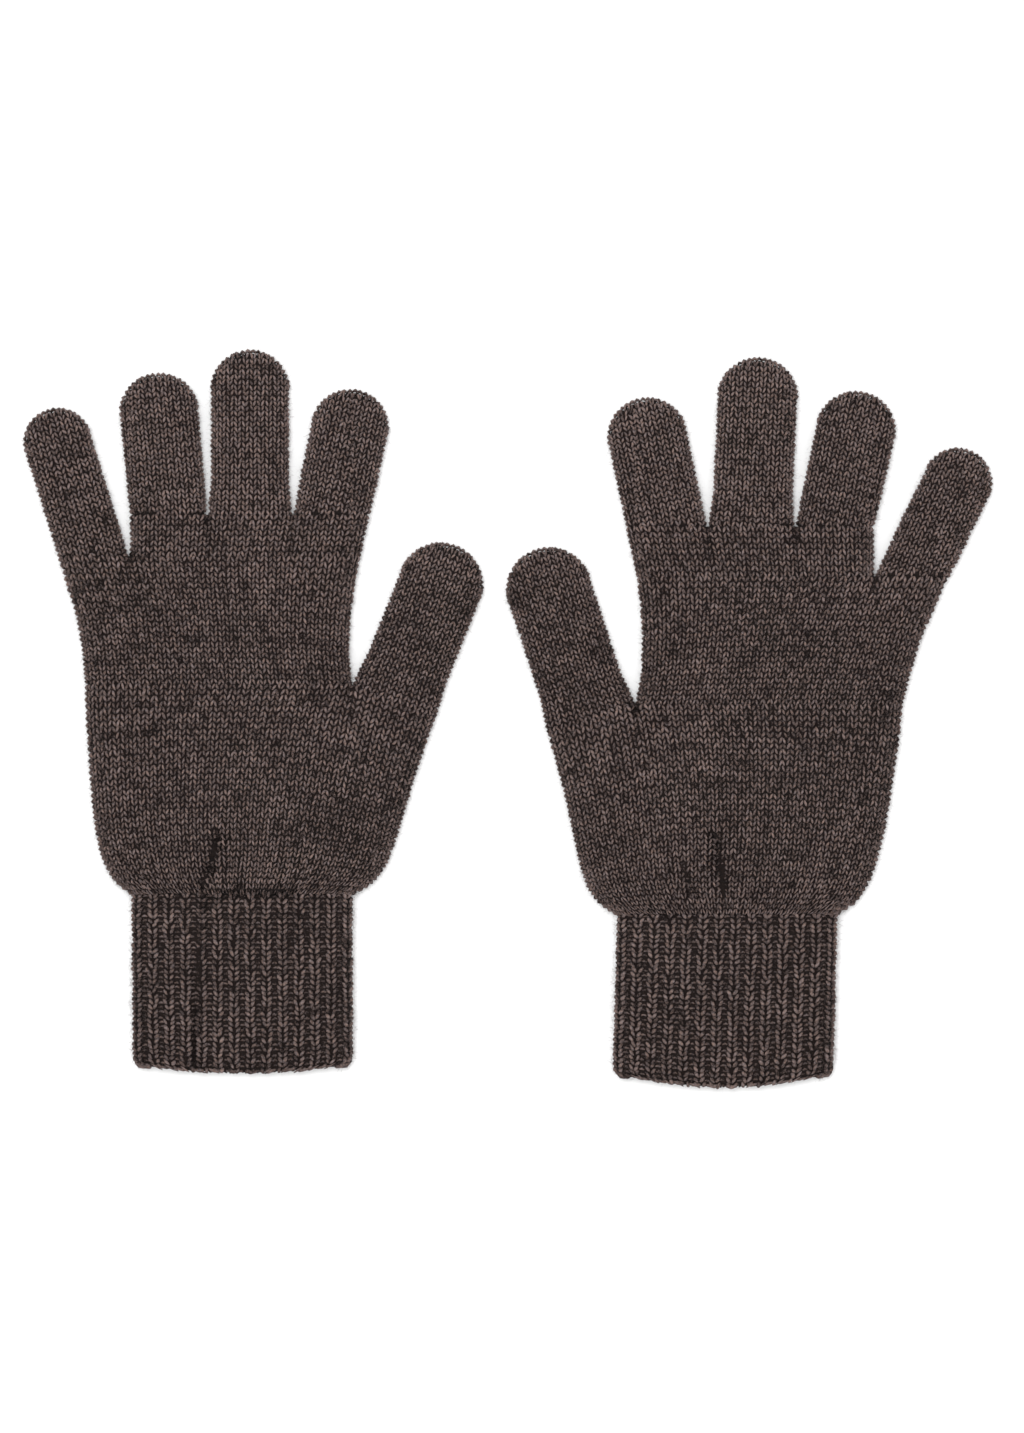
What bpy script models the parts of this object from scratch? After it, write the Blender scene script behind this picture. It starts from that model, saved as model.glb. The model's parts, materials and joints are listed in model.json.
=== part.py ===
"""A pair of fine knitted gloves with ribbed cuffs, lying flat side by side, thumbs towards each other.

Run with: blender --background --python part.py

Each glove is a set of flattened knitted tubes: the ribbed cuff, the palm in the three stages in which
it is knitted (round five, four and three stalls), a thumb and four finger stalls. The stalls are cut
across at the knuckles, so that each length can turn on a hinge that lies in the glove's upper face.
Metres, +Z up, fingers towards +Y, the table at Z = 0.
"""

import math
from dataclasses import dataclass

import bmesh
import bpy
from mathutils import Vector

COLLECTION = "knitted_gloves"

# The fabric
THICKNESS = 0.009  # a glove lying flat: two layers of knit and the air between them
WALL = 0.0018  # one layer of knit
CLEARANCE = 0.0003  # between two lengths of tube that meet
EDGE_DEPTH = 0.006  # how far in from a side edge the fold of the tube reaches
NARROW_EDGE_SHARE = 0.8  # and the most of a narrow tube's half width that it takes

# Sizes that both gloves share
CUFF_WIDTH = 0.0805
PALM_WIDTH = 0.0965  # across the four-stall palm, level with the thumb crotch
FIVE_STALL_LENGTH = 0.0755  # from the cuff to the thumb crotch
FOUR_STALL_LENGTH = 0.0460  # from the thumb crotch to the little finger's root
ROOT_EASE = 0.006  # how far up a stall its root width has drawn in to its own width

# How far the side edges swell past the straight line between their ends: (share of the way up, metres)
LOWER_LITTLE_SWELL = ((0.04, 0.0034), (0.10, 0.0059), (0.20, 0.0073), (0.35, 0.0072), (0.52, 0.0058),
                      (0.70, 0.0038), (0.85, 0.0022))
LOWER_THUMB_SWELL = ((0.04, 0.0028), (0.10, 0.0050), (0.20, 0.0060), (0.35, 0.0048), (0.52, 0.0030),
                     (0.70, 0.0012), (0.85, 0.0004))
UPPER_LITTLE_SWELL = ((0.30, -0.0019), (0.58, -0.0025), (0.82, -0.0011))
UPPER_THUMB_SWELL = ((0.30, -0.0020), (0.58, -0.0022), (0.82, -0.0013))

# Facets
EDGE_STEPS = 4  # facets round the fold at each side edge
FINGER_FLATS = (-0.6, 0.0, 0.6)  # where a finger's flat faces are divided, from -1 to 1 across the flat
PALM_FLATS = (-0.5, 0.0, 0.5)  # the same for the palm and the cuff, from -1 to 1 across the whole width
CUFF_STATIONS = (0.0, 0.35, 1.0)  # rings up the cuff, as shares of its length
TIP_STATIONS = (1.0, 0.58, 0.30, 0.15, 0.06)  # rings round a fingertip, in tip radii from its end

KNIT_ROUGHNESS = 0.95
PALM_COLOUR = (0.062, 0.047, 0.043, 1.0)
STALL_COLOUR = (0.066, 0.050, 0.046, 1.0)
CUFF_COLOUR = (0.052, 0.040, 0.037, 1.0)


@dataclass(frozen=True)
class Stall:
    """A finger or thumb tube: its width, its lean towards the thumb in degrees, its lengths between bends."""

    name: str
    width: float
    root_flare: float  # how much wider the tube is where it leaves the palm
    lean: float
    lengths: tuple

    @property
    def root_width(self):
        return self.width + self.root_flare


@dataclass(frozen=True)
class Glove:
    """One glove. side is +1 with the thumb towards +X, and the offsets run towards the thumb."""

    name: str
    side: int
    hem_above_front: float  # the lowest point of the hem, from the front of the pair
    cuff_length: float
    hem_bow: float  # how far the hem's middle hangs below its corners
    wrist_offset: float  # how far the wrist's middle lies from the hem's
    palm_offset: float  # how far the palm's middle lies from the hem's, level with the thumb crotch
    knuckle_offset: float  # the same for the middle of the three-stall palm at the knuckles
    three_stall_length: float
    thumb: Stall
    index: Stall
    middle: Stall
    ring: Stall
    little: Stall


LEFT = Glove(
    name="left", side=1, hem_above_front=0.0051, cuff_length=0.0652, hem_bow=0.0034, wrist_offset=-0.0003,
    palm_offset=-0.0088, knuckle_offset=0.0024, three_stall_length=0.0150,
    thumb=Stall("thumb", 0.0305, 0.0020, 21.8, (0.0290, 0.0322)),
    index=Stall("index", 0.0278, -0.0001, 12.0, (0.0170, 0.0140, 0.0160)),
    middle=Stall("middle", 0.0284, 0.0020, 0.0, (0.0220, 0.0185, 0.0200)),
    ring=Stall("ring", 0.0285, -0.0006, -5.3, (0.0190, 0.0160, 0.0173)),
    little=Stall("little", 0.0246, 0.0010, -17.4, (0.0215, 0.0170, 0.0178)),
)
RIGHT = Glove(
    name="right", side=-1, hem_above_front=0.0, cuff_length=0.0630, hem_bow=0.0050, wrist_offset=-0.0016,
    palm_offset=-0.0168, knuckle_offset=-0.0099, three_stall_length=0.0180,
    thumb=Stall("thumb", 0.0308, 0.0027, 18.2, (0.0310, 0.0342)),
    index=Stall("index", 0.0287, 0.0009, 12.0, (0.0174, 0.0143, 0.0166)),
    middle=Stall("middle", 0.0290, 0.0020, -2.8, (0.0226, 0.0190, 0.0205)),
    ring=Stall("ring", 0.0286, 0.0, -12.3, (0.0183, 0.0155, 0.0169)),
    little=Stall("little", 0.0250, 0.0012, -26.0, (0.0195, 0.0155, 0.0161)),
)
PAIR_GAP = 0.0081  # between the two gloves, from thumb to thumb


def clear_scene():
    for thing in list(bpy.data.objects):
        bpy.data.objects.remove(thing, do_unlink=True)


def knit_material(name, colour):
    material = bpy.data.materials.new(name)
    material.use_nodes = True
    shader = material.node_tree.nodes["Principled BSDF"]
    shader.inputs["Base Color"].default_value = colour
    shader.inputs["Roughness"].default_value = KNIT_ROUGHNESS
    shader.inputs["Metallic"].default_value = 0.0
    return material


def pivot(name, parent, place, turn=0.0):
    """An empty that carries a hinge: the hinge's axis is its local X."""
    empty = bpy.data.objects.new(name, None)
    empty.empty_display_size = 0.01
    empty.parent = parent
    empty.location = place
    empty.rotation_euler.z = turn
    bpy.data.collections[COLLECTION].objects.link(empty)
    return empty


def swell_at(table, share):
    """How far an edge swells at this share of the way up, between the table's points."""
    points = ((0.0, 0.0),) + table + ((1.0, 0.0),)
    for (start, low), (end, high) in zip(points, points[1:]):
        if share <= end:
            return low + (high - low) * (share - start) / (end - start)
    return 0.0


def edge_share(width):
    """How much of a half width is taken up by the fold at the side edge."""
    return min(EDGE_DEPTH / (width / 2), NARROW_EDGE_SHARE)


def section(width, flats):
    """The points round a flattened tube: (from -1 at one edge to 1 at the other, from 0 below to 1 above)."""
    depth = edge_share(width)
    turns = [math.pi * (k / EDGE_STEPS - 0.5) for k in range(EDGE_STEPS + 1)]
    far_edge = [(1 - depth * (1 - math.cos(a)), (1 + math.sin(a)) / 2) for a in turns]
    near_edge = [(-across, 1 - height) for across, height in far_edge]
    above = [(across, 1.0) for across in reversed(flats)]
    below = [(across, 0.0) for across in flats]
    return far_edge + above + near_edge + below


def stall_ring(width, along, skew=0.0, thickness=THICKNESS):
    """A ring round a stall, whose hinge line is in its upper face. skew is its slant, in metres for each metre."""
    ring = []
    flats = [flat * (1 - edge_share(width)) for flat in FINGER_FLATS]
    for across, height in section(width, flats):
        x = across * width / 2
        ring.append((x, along + skew * x, (height - 0.5) * thickness - THICKNESS / 2))
    return ring


def skinned(bm, rings):
    """Lofts a skin through the rings, corner to corner, and returns their corners."""
    loops = [[bm.verts.new(point) for point in ring] for ring in rings]
    for lower, upper in zip(loops, loops[1:]):
        joined(bm, lower, upper)
    return loops


def joined(bm, lower, upper):
    """One band of the loft, between two rings of as many corners."""
    for k in range(len(lower)):
        after = (k + 1) % len(lower)
        bm.faces.new((lower[k], lower[after], upper[after], upper[k]))


def knit_tube(name, outer, inner, parent, colour, turn=0.0, closed=False):
    """A length of tube: an outer and an inner skin, joined at both rims, or each closed at its last ring."""
    bm = bmesh.new()
    outer_loops = skinned(bm, outer)
    inner_loops = skinned(bm, inner)
    joined(bm, outer_loops[0], inner_loops[0])
    if closed:
        bm.faces.new(outer_loops[-1])
        bm.faces.new(inner_loops[-1])
    else:
        joined(bm, outer_loops[-1], inner_loops[-1])
    bmesh.ops.recalc_face_normals(bm, faces=bm.faces)
    if bm.calc_volume(signed=True) < 0:
        bmesh.ops.reverse_faces(bm, faces=bm.faces)
    mesh = bpy.data.meshes.new(name)
    bm.to_mesh(mesh)
    bm.free()
    mesh.shade_smooth()
    tube = bpy.data.objects.new(name, mesh)
    tube.parent = parent
    tube.rotation_euler.z = turn
    tube.data.materials.append(knit_material(name, colour))
    bpy.data.collections[COLLECTION].objects.link(tube)


def tip_rings(width, length, thickness):
    """The rings of a stall's last length, from its hinge to its rounded end."""
    radius = width / 2
    rings = [stall_ring(width, CLEARANCE / 2, thickness=thickness)]
    for share in TIP_STATIONS:
        from_end = share * radius
        half_width = radius * math.sqrt(1 - (1 - share) ** 2)
        closing = max(0.0, 1 - from_end / (thickness / 2))
        rise = math.sqrt(1 - closing ** 2)
        rings.append(stall_ring(2 * half_width, length - from_end, thickness=rise * thickness))
    return rings


class GloveBuilder:
    """Works out one glove's places from its sizes and makes its tubes."""

    def __init__(self, glove):
        self.glove = glove
        self.side = glove.side
        self.root = pivot(glove.name + "_glove", None, (0, 0, 0))
        self.thumb_level = glove.cuff_length + FIVE_STALL_LENGTH
        self.little_level = self.thumb_level + FOUR_STALL_LENGTH
        self.knuckle_level = self.little_level + glove.three_stall_length
        self.place_stalls()

    def place_stalls(self):
        """Sets the stall roots side by side along the knuckle line, and the palm's edges from them."""
        g = self.glove
        row = (g.ring, g.middle, g.index)
        total = sum(stall.root_width for stall in row) + CLEARANCE * (len(row) - 1)
        edge = g.knuckle_offset - total / 2
        self.ring_edge = edge
        self.roots = {}
        for stall in row:
            self.roots[stall.name] = edge + stall.root_width / 2
            edge += stall.root_width + CLEARANCE
        self.index_edge = g.knuckle_offset + total / 2
        taper = g.three_stall_length * math.tan(math.radians(g.index.lean))
        self.index_side_low = self.index_edge - taper
        self.roots["little"] = self.ring_edge - CLEARANCE - g.little.root_width / 2
        self.little_edge = self.roots["little"] - g.little.root_width / 2
        self.palm_little = g.palm_offset - PALM_WIDTH / 2
        self.palm_thumb = g.palm_offset + PALM_WIDTH / 2
        lean = math.radians(g.thumb.lean)
        self.thumb_far = self.palm_thumb + g.thumb.root_width * math.cos(lean)
        self.thumb_drop = g.thumb.root_width * math.sin(lean)

    def at(self, across, along, height=0.0):
        """A point of the glove's own flat pattern as a place under its root."""
        return (self.side * across, along, height)

    def palm_ring(self, low, high, level, flats, inset):
        """A ring across the palm between two edges. level gives its height up the palm from the place across.

        The ring is drawn in by the inset on every side, without leaving the outer ring's own levels.
        """
        ring = []
        middle, half = (low + high) / 2, (high - low) / 2
        drawn_in = half - inset
        flats = [flat * half / drawn_in for flat in flats]
        for across, height in section(2 * drawn_in, flats):
            x = across * drawn_in
            z = inset + height * (THICKNESS - 2 * inset)
            ring.append(self.at(middle + x, level(x / half), z))
        return ring

    def palm_tube(self, name, stations, flats, parent, colour):
        """A tube through stations up the palm or cuff, each its two edges and its level."""
        outer = [self.palm_ring(low, high, level, flats, 0.0) for low, high, level in stations]
        inner = [self.palm_ring(low, high, level, flats, WALL) for low, high, level in stations]
        if parent is not self.root:
            hinge = Vector(parent.location)
            outer = [[Vector(point) - hinge for point in ring] for ring in outer]
            inner = [[Vector(point) - hinge for point in ring] for ring in inner]
        knit_tube(f"{self.glove.name}_{name}", outer, inner, parent, colour)

    def build_cuff(self):
        g = self.glove
        half = CUFF_WIDTH / 2
        wrist = g.cuff_length - CLEARANCE / 2
        hinge = pivot(g.name + "_wrist_hinge", self.root, self.at(0, g.cuff_length, THICKNESS))
        stations = []
        for share in CUFF_STATIONS:
            offset = g.wrist_offset * share
            def level(across, share=share):
                return g.hem_bow * across ** 2 * (1 - share) + wrist * share
            stations.append((offset - half, offset + half, level))
        self.palm_tube("cuff", stations, PALM_FLATS, hinge, CUFF_COLOUR)

    def build_five_stall_palm(self):
        g = self.glove
        half = CUFF_WIDTH / 2
        start = g.cuff_length + CLEARANCE / 2
        top = self.thumb_level - CLEARANCE / 2
        top_low, top_high = self.palm_little, self.thumb_far
        crotch = 2 * (self.palm_thumb - top_low) / (top_high - top_low) - 1
        stations = []
        for share in (0.0,) + tuple(s for s, _ in LOWER_LITTLE_SWELL) + (1.0,):
            low = g.wrist_offset - half + (top_low - g.wrist_offset + half) * share
            high = g.wrist_offset + half + (top_high - g.wrist_offset - half) * share
            low -= swell_at(LOWER_LITTLE_SWELL, share)
            high += swell_at(LOWER_THUMB_SWELL, share)
            def level(across, share=share):
                past_crotch = max(0.0, (across - crotch) / (1 - crotch))
                return start + (top - past_crotch * self.thumb_drop - start) * share
            stations.append((low, high, level))
        self.palm_tube("five_stall_palm", stations, PALM_FLATS[:-1] + (crotch,), self.root, PALM_COLOUR)

    def build_four_stall_palm(self):
        start = self.thumb_level + CLEARANCE / 2
        top = self.little_level - CLEARANCE / 2
        stations = []
        for share in (0.0,) + tuple(s for s, _ in UPPER_LITTLE_SWELL) + (1.0,):
            low = self.palm_little + (self.little_edge - self.palm_little) * share
            high = self.palm_thumb + (self.index_side_low - self.palm_thumb) * share
            low -= swell_at(UPPER_LITTLE_SWELL, share)
            high += swell_at(UPPER_THUMB_SWELL, share)
            along = start + (top - start) * share
            stations.append((low, high, lambda across, along=along: along))
        self.palm_tube("four_stall_palm", stations, PALM_FLATS, self.root, PALM_COLOUR)

    def build_three_stall_palm(self):
        start = self.little_level + CLEARANCE / 2
        top = self.knuckle_level - CLEARANCE / 2
        stations = [
            (self.ring_edge, self.index_side_low, lambda across: start),
            (self.ring_edge, self.index_edge, lambda across: top),
        ]
        self.palm_tube("three_stall_palm", stations, PALM_FLATS, self.root, PALM_COLOUR)

    def build_stall(self, stall, hinge, hinge_turn, parts):
        """A stall's lengths, one after another, each on its own hinge. hinge_turn is the first one's heading."""
        name = self.glove.name + "_" + stall.name
        heading = -self.side * math.radians(stall.lean)
        turn = heading - hinge_turn
        skew = -math.tan(turn)
        ends = CLEARANCE / 2
        root_width = stall.root_width * math.cos(turn)
        eased = max(ROOT_EASE, stall.width * abs(skew) / 2 + ends)
        for place, (part, length) in enumerate(zip(parts, stall.lengths)):
            part_name = f"{name}_{part}"
            if place == len(parts) - 1:
                outer = tip_rings(stall.width, length, THICKNESS)
                inner = tip_rings(stall.width - 2 * WALL, length - WALL, THICKNESS - 2 * WALL)
                knit_tube(part_name, outer, inner, hinge, STALL_COLOUR, turn, closed=True)
                continue
            skins = []
            for inset in (0.0, WALL):
                width = stall.width - 2 * inset
                thickness = THICKNESS - 2 * inset
                if place == 0:
                    rings = [stall_ring(root_width - 2 * inset, ends, skew, thickness)]
                    rings.append(stall_ring(width, eased, thickness=thickness))
                else:
                    rings = [stall_ring(width, ends, thickness=thickness)]
                rings.append(stall_ring(width, length - ends, thickness=thickness))
                skins.append(rings)
            knit_tube(part_name, skins[0], skins[1], hinge, STALL_COLOUR, turn)
            along = Vector((-math.sin(turn), math.cos(turn), 0)) * length
            hinge = pivot(f"{name}_{parts[place + 1]}_hinge", hinge, along, turn)
            turn = 0.0

    def build(self):
        g = self.glove
        self.build_cuff()
        self.build_five_stall_palm()
        self.build_four_stall_palm()
        self.build_three_stall_palm()
        lean = math.radians(g.thumb.lean)
        across = self.palm_thumb + g.thumb.root_width / 2 * math.cos(lean)
        along = self.thumb_level - g.thumb.root_width / 2 * math.sin(lean)
        heading = -self.side * lean
        place = self.at(across, along, THICKNESS)
        thumb = pivot(g.name + "_thumb_base_hinge", self.root, place, heading)
        self.build_stall(g.thumb, thumb, heading, ("base", "tip"))
        for stall in (g.index, g.middle, g.ring, g.little):
            level = self.little_level if stall is g.little else self.knuckle_level
            place = self.at(self.roots[stall.name], level, THICKNESS)
            knuckle = pivot(f"{g.name}_{stall.name}_base_hinge", self.root, place)
            self.build_stall(stall, knuckle, 0.0, ("base", "middle", "tip"))


def corners_of(glove):
    """Every corner of a glove's tubes, in the world."""
    corners = []
    for tube in bpy.data.collections[COLLECTION].objects:
        if tube.type == "MESH" and tube.name.startswith(glove.name):
            corners += [tube.matrix_world @ vertex.co for vertex in tube.data.vertices]
    return corners


def centre_pair(builders):
    """Lays the gloves side by side, thumb to thumb, and stands the pair's box on the origin."""
    bpy.context.view_layer.update()
    for builder in builders:
        g = builder.glove
        reach = max(g.side * corner.x for corner in corners_of(g))
        builder.root.location = (-g.side * (reach + PAIR_GAP / 2), g.hem_above_front, 0)
    bpy.context.view_layer.update()
    corners = [corner for builder in builders for corner in corners_of(builder.glove)]
    for axis in (0, 1):
        places = [corner[axis] for corner in corners]
        for builder in builders:
            builder.root.location[axis] -= (min(places) + max(places)) / 2


def main():
    clear_scene()
    collection = bpy.data.collections.new(COLLECTION)
    bpy.context.scene.collection.children.link(collection)
    builders = [GloveBuilder(LEFT), GloveBuilder(RIGHT)]
    for builder in builders:
        builder.build()
    centre_pair(builders)
    bpy.context.view_layer.update()


main()
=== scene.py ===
"""The looks of a pair of fine knitted gloves with ribbed cuffs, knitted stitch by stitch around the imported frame.

Each glove is a set of flattened knitted tubes. A tube is a map from places round and along it to places
in the world. On that map lie a thin backing, the two yarn legs of every stitch, and loose fibres.
Sizes and places come from the frame's own solids and hinges. Metres, +Z up, fingers towards +Y.
"""

import json
import logging
import math
from collections.abc import Callable
from dataclasses import dataclass, field
from enum import Enum

import bmesh
import bpy
import numpy as np
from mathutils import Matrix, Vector


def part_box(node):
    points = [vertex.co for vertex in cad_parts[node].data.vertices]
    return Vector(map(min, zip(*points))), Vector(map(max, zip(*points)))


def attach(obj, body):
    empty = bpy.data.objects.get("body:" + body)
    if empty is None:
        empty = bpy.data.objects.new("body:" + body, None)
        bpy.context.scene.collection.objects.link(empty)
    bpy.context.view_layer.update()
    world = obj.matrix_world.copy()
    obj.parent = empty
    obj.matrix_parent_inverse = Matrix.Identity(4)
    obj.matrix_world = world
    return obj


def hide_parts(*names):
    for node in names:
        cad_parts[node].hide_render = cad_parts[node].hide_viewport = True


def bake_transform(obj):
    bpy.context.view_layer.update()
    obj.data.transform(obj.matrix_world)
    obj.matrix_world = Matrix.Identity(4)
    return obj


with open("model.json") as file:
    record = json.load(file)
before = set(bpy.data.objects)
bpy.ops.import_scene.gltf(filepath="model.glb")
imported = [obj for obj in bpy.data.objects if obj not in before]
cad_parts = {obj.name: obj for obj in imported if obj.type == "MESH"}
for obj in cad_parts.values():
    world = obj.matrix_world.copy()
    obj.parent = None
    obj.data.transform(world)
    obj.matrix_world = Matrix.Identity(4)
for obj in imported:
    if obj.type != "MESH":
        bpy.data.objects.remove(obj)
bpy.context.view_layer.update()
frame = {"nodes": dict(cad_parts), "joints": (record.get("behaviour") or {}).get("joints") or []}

LOG = logging.getLogger("knitted_gloves")
SEED = 2611
LOWEST = 0.00002  # how far over the floor the lowest yarn stays
STRANDS, BACKING, LOOSE = 0, 1, 2  # the materials of each piece, in order
Numbers = np.ndarray
Colour = tuple[float, float, float]


class Face(Enum):
    """The two layers of a tube that lies flat."""

    UPPER = 1
    UNDER = -1


class Point(Enum):
    """Which way the two legs of a stitch come together."""

    DOWN = 1
    UP = -1


class Slot(Enum):
    """The record's material slots."""

    PLAIN = "plain_knit"
    RIBBED = "ribbed_knit"


@dataclass(frozen=True)
class YarnFinish:
    """A heathered woollen yarn: its darkest and lightest fibres, and how matt and how fuzzy it is."""

    name: str
    dark: Colour
    light: Colour
    tinge: float = 0.09  # how much warmer or cooler single fibres are
    roughness: float = 0.93
    sheen: float = 0.02
    specular: float = 0.06
    patch_size: float = 0.022
    patchy: float = 0.35
    fleck_size: float = 0.0006
    flecked: float = 2.0
    twist: float = 0.35

    def material(self) -> bpy.types.Material:
        """Builds the finish.

        Returns:
            A material whose colour follows each strand's own heathered lightness together with the painted shade
            laid into it, broken up by patches and flecks.
        """
        made = bpy.data.materials.new(self.name)
        made.use_nodes = True
        tree = made.node_tree
        shader = tree.nodes["Principled BSDF"]
        shader.inputs["Roughness"].default_value = self.roughness
        shader.inputs["Sheen Weight"].default_value = self.sheen
        shader.inputs["Sheen Roughness"].default_value = 0.6
        shader.inputs["Specular IOR Level"].default_value = self.specular
        tone_and_shade = tree.nodes.new("ShaderNodeAttribute")
        tone_and_shade.attribute_name = "tone_and_shade"
        place = tree.nodes.new("ShaderNodeTexCoord")
        patches = self.noise(tree, place.outputs["Object"], 1 / self.patch_size, 2.0)
        flecks = self.noise(tree, place.outputs["Object"], 1 / self.fleck_size, 3.0)
        lift = self.mixed(tree, patches.outputs["Fac"], self.patchy, tone_and_shade.outputs["Fac"])
        lift = self.mixed(tree, flecks.outputs["Fac"], self.flecked, lift)
        ramp = tree.nodes.new("ShaderNodeMix")
        ramp.data_type = "RGBA"
        ramp.clamp_factor = True
        ramp.inputs["A"].default_value = (*self.dark, 1.0)
        tree.links.new(self.tinged(tree, place.outputs["Object"]), ramp.inputs["B"])
        tree.links.new(lift, ramp.inputs["Factor"])
        tree.links.new(ramp.outputs["Result"], shader.inputs["Base Color"])
        self.add_twist(tree, shader)
        return made

    def noise(self, tree: bpy.types.NodeTree, place: bpy.types.NodeSocket, scale: float,
              detail: float) -> bpy.types.Node:
        """Adds a noise texture that reads a place.

        Args:
            tree: the material's nodes.
            place: the socket that gives the place.
            scale: how many features there are to a metre.
            detail: how many octaves it has.

        Returns:
            The texture node.
        """
        texture = tree.nodes.new("ShaderNodeTexNoise")
        texture.inputs["Scale"].default_value = scale
        texture.inputs["Detail"].default_value = detail
        texture.inputs["Roughness"].default_value = 0.7
        tree.links.new(place, texture.inputs["Vector"])
        return texture

    def tinged(self, tree: bpy.types.NodeTree, place: bpy.types.NodeSocket) -> bpy.types.NodeSocket:
        """Adds the light fibres' colour, in which warm and cool fibres are mixed.

        Args:
            tree: the material's nodes.
            place: the socket that gives the place.

        Returns:
            The colour's socket.
        """
        fibres = self.noise(tree, place, 0.7 / self.fleck_size, 2.0)
        steeper = tree.nodes.new("ShaderNodeMapRange")
        steeper.inputs["From Min"].default_value = 0.38
        steeper.inputs["From Max"].default_value = 0.62
        blend = tree.nodes.new("ShaderNodeMix")
        blend.data_type = "RGBA"
        red, green, blue = self.light
        blend.inputs["A"].default_value = (red * (1 + self.tinge), green, blue * (1 - self.tinge), 1.0)
        blend.inputs["B"].default_value = (red * (1 - self.tinge), green, blue * (1 + self.tinge), 1.0)
        tree.links.new(fibres.outputs["Fac"], steeper.inputs["Value"])
        tree.links.new(steeper.outputs["Result"], blend.inputs["Factor"])
        return blend.outputs["Result"]

    def mixed(self, tree: bpy.types.NodeTree, noise: bpy.types.NodeSocket, amount: float,
              base: bpy.types.NodeSocket) -> bpy.types.NodeSocket:
        """Adds a noise, centred on nothing, to a value.

        Args:
            tree: the material's nodes.
            noise: the noise's socket, from 0 to 1.
            amount: how much of it is added.
            base: the value's socket.

        Returns:
            The sum's socket.
        """
        centred = tree.nodes.new("ShaderNodeMath")
        centred.operation = "MULTIPLY_ADD"
        centred.inputs[1].default_value = amount
        centred.inputs[2].default_value = -amount / 2
        tree.links.new(noise, centred.inputs[0])
        total = tree.nodes.new("ShaderNodeMath")
        total.operation = "ADD"
        tree.links.new(centred.outputs[0], total.inputs[0])
        tree.links.new(base, total.inputs[1])
        return total.outputs[0]

    def add_twist(self, tree: bpy.types.NodeTree, shader: bpy.types.Node) -> None:
        """Adds the ridges of the twisted plies, with fibres across them.

        Args:
            tree: the material's nodes.
            shader: the shader that takes the bump.
        """
        strand = tree.nodes.new("ShaderNodeUVMap")
        strand.uv_map = "Strand"
        slant = tree.nodes.new("ShaderNodeMapping")
        slant.inputs["Rotation"].default_value = (0.0, 0.0, math.radians(35))
        plies = tree.nodes.new("ShaderNodeTexWave")
        plies.inputs["Scale"].default_value = 1.1
        plies.inputs["Distortion"].default_value = 2.5
        plies.inputs["Detail"].default_value = 3.0
        plies.inputs["Detail Scale"].default_value = 4.0
        bump = tree.nodes.new("ShaderNodeBump")
        bump.inputs["Strength"].default_value = self.twist
        bump.inputs["Distance"].default_value = 0.0003
        tree.links.new(strand.outputs["UV"], slant.inputs["Vector"])
        tree.links.new(slant.outputs["Vector"], plies.inputs["Vector"])
        tree.links.new(plies.outputs["Fac"], bump.inputs["Height"])
        tree.links.new(bump.outputs["Normal"], shader.inputs["Normal"])


# The dark ends stand both for the darkest fibres and for the painted shade that the strands' lightness carries into
# gaps, creases and clefts.
PLAIN_YARN = YarnFinish("plain_knit_yarn", dark=(0.0096, 0.0064, 0.0058), light=(0.213, 0.156, 0.143))
RIB_YARN = YarnFinish("ribbed_knit_yarn", dark=(0.0125, 0.0084, 0.0077), light=(0.210, 0.154, 0.141))
# The backing is painted near black: painted shade of the yarn deep in the gaps between the stitches.
BACKING_IN_PAINTED_SHADE = YarnFinish("yarn_between_stitches_in_painted_shade", dark=(0.007, 0.0048, 0.0044), light=(0.019, 0.0134, 0.0121))
FIBRES = YarnFinish("loose_fibres", dark=(0.07, 0.054, 0.050), light=(0.20, 0.155, 0.145), twist=0.0)


@dataclass(frozen=True)
class Grain:
    """A short closed length of strand that many copies share: its places and its faces."""

    along: Numbers  # of each point, from -1 at one end to 1 at the other
    angle: Numbers  # of each point, round the strand
    corners: Numbers  # the point at each face's corners, one face after another
    totals: Numbers  # how many corners each face has
    spread: Numbers  # each corner's place on the strand's skin, from 0 to 1 round it and along it

    @classmethod
    def turned(cls, sides: int, bands: int) -> "Grain":
        """Makes a grain from a capped cylinder, cut into bands.

        Args:
            sides: how many flat sides it has.
            bands: how many bands it is cut into along its length.

        Returns:
            The grain.
        """
        bm = bmesh.new()
        bmesh.ops.create_cone(bm, cap_ends=True, segments=sides, radius1=1.0, radius2=1.0, depth=2.0)
        lengthwise = [e for e in bm.edges if abs(e.verts[0].co.z - e.verts[1].co.z) > 1.0]
        bmesh.ops.subdivide_edges(bm, edges=lengthwise, cuts=bands - 1)
        bm.verts.ensure_lookup_table()
        bm.verts.index_update()
        points = np.array([v.co for v in bm.verts])
        angle = np.arctan2(points[:, 1], points[:, 0])
        corners, totals, spread = [], [], []
        for face in bm.faces:
            places = [v.index for v in face.verts]
            round_it = (angle[places] / (2 * math.pi)) % 1.0
            if np.ptp(round_it) > 0.5:
                round_it = np.where(round_it < 0.5, round_it + 1.0, round_it)
            spread += [(0.8 * r, (points[p, 2] + 1) / 2) for r, p in zip(round_it, places)]
            corners += places
            totals.append(len(places))
        bm.free()
        eased = -np.cos(math.pi * (points[:, 2] + 1) / 2)
        return cls(eased, angle, np.array(corners), np.array(totals), np.array(spread))

    @property
    def shade(self) -> Numbers:
        """How much darker each point is made: painted shade at the strand's ends, where it dives under its
        neighbours, and on its sides and underside.
        """
        return -0.44 * self.along ** 4 - 0.20 * (1 - np.sin(self.angle))

    def mirrored(self) -> "Grain":
        """The same grain for a place that is mirrored.

        Returns:
            A grain with its corners in the other order, so that its faces still point outwards.
        """
        ends = np.cumsum(self.totals)
        order = np.concatenate([np.arange(e - 1, e - t - 1, -1) for e, t in zip(ends, self.totals)])
        return Grain(self.along, self.angle, self.corners[order], self.totals, self.spread[order])


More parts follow.
